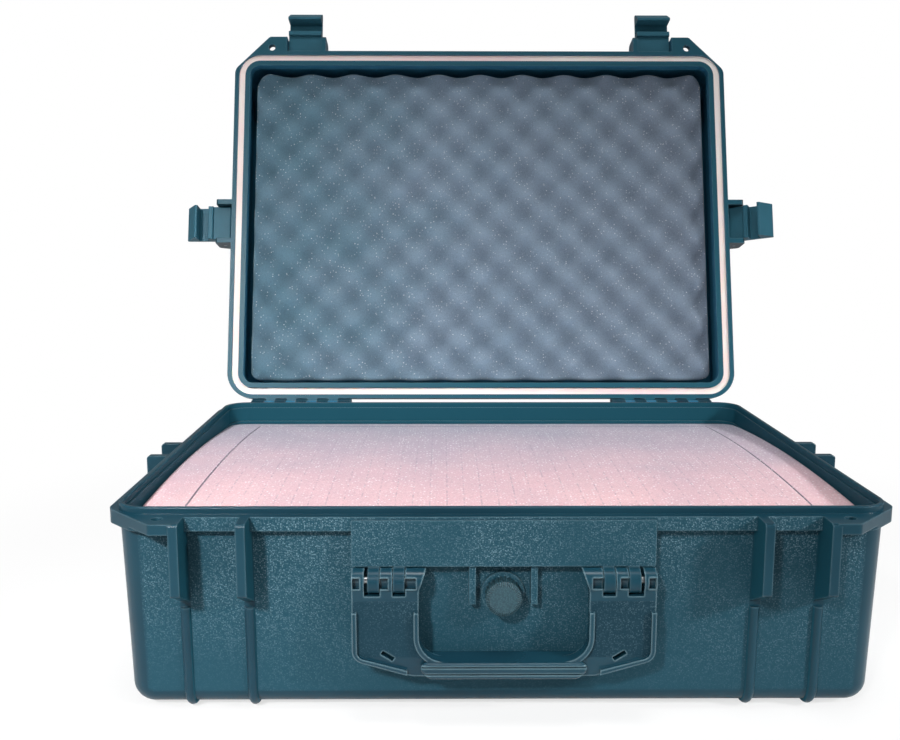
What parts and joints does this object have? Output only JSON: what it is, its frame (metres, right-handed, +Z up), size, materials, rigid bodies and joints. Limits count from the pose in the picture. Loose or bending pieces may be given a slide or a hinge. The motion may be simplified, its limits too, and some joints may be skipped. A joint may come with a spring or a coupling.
{
  "type": "laptop hard case",
  "caption": "Dark teal moulded hard case for a laptop, lid open, with four pull latches, folding handle, valve, seal and foam.",
  "frame": {"origin": "middle of the flat panel under the base", "axes": "+X across the case to its right as seen from the front, -Y towards the front, +Z up; lid open at rest"},
  "size_m": [0.644, 0.5781, 0.5694],
  "materials": {
    "shell": "moulded pebble texture, dark teal",
    "latch": "smooth moulded, teal",
    "knob": "satin moulded, grey teal",
    "seal": "matte elastomer, pale pink",
    "foam_base": "open-cell foam, pale pink grey",
    "foam_lid": "open-cell foam, slate blue",
    "steel": "ground pin",
    "brass": "machined",
    "membrane": "porous white sheet"
  },
  "bodies": {
    "base": {"base_shell": "shell", "base_foam_block": "foam_base", "base_foam_floor": "foam_base", "hinge_pin_left": "steel", "hinge_pin_right": "steel", "handle_pin_left": "steel", "handle_pin_right": "steel", "valve_bush": "brass", "valve_washer": "seal", "valve_nut": "brass", "valve_membrane": "membrane"},
    "lid": {"lid_shell": "shell", "lid_seal": "seal", "lid_foam": "foam_lid", "latch_pin_front_left": "steel", "latch_pin_front_right": "steel", "latch_pin_side_left": "steel", "latch_pin_side_right": "steel"},
    "handle": {"handle": "shell"},
    "valve_knob": {"valve_knob": "knob", "valve_o_ring": "seal"},
    "latch_front_left": {"latch_front_left": "latch"},
    "latch_front_right": {"latch_front_right": "latch"},
    "latch_side_left": {"latch_side_left": "latch"},
    "latch_side_right": {"latch_side_right": "latch"}
  },
  "joints": [
    {"name": "lid_hinge", "type": "hinge", "parent": "base", "child": "lid", "pos_m": [0, 0.2025, 0.141], "axis": [1, 0, 0], "range_deg": [0, 106]},
    {"name": "handle_swing", "type": "hinge", "parent": "base", "child": "handle", "pos_m": [0, -0.1975, 0.0985], "axis": [-1, 0, 0], "range_deg": [0, 95]},
    {"name": "valve_turn", "type": "hinge", "parent": "base", "child": "valve_knob", "pos_m": [0, -0.195, 0.086], "axis": [0, 1, 0], "range_deg": [0, 180]},
    {"name": "latch_front_left_swing", "type": "hinge", "parent": "lid", "child": "latch_front_left", "pos_m": [-0.1965, 0.33281, 0.52652], "axis": [1, 0, 0], "range_deg": [0, 90]},
    {"name": "latch_front_right_swing", "type": "hinge", "parent": "lid", "child": "latch_front_right", "pos_m": [0.1965, 0.33281, 0.52652], "axis": [1, 0, 0], "range_deg": [0, 90]},
    {"name": "latch_side_left_swing", "type": "hinge", "parent": "lid", "child": "latch_side_left", "pos_m": [-0.2815, 0.27658, 0.33042], "axis": [0, 0.2756, 0.9613], "range_deg": [0, 90]},
    {"name": "latch_side_right_swing", "type": "hinge", "parent": "lid", "child": "latch_side_right", "pos_m": [0.2815, 0.27658, 0.33042], "axis": [0, -0.2756, -0.9613], "range_deg": [-30, 60]}
  ]
}
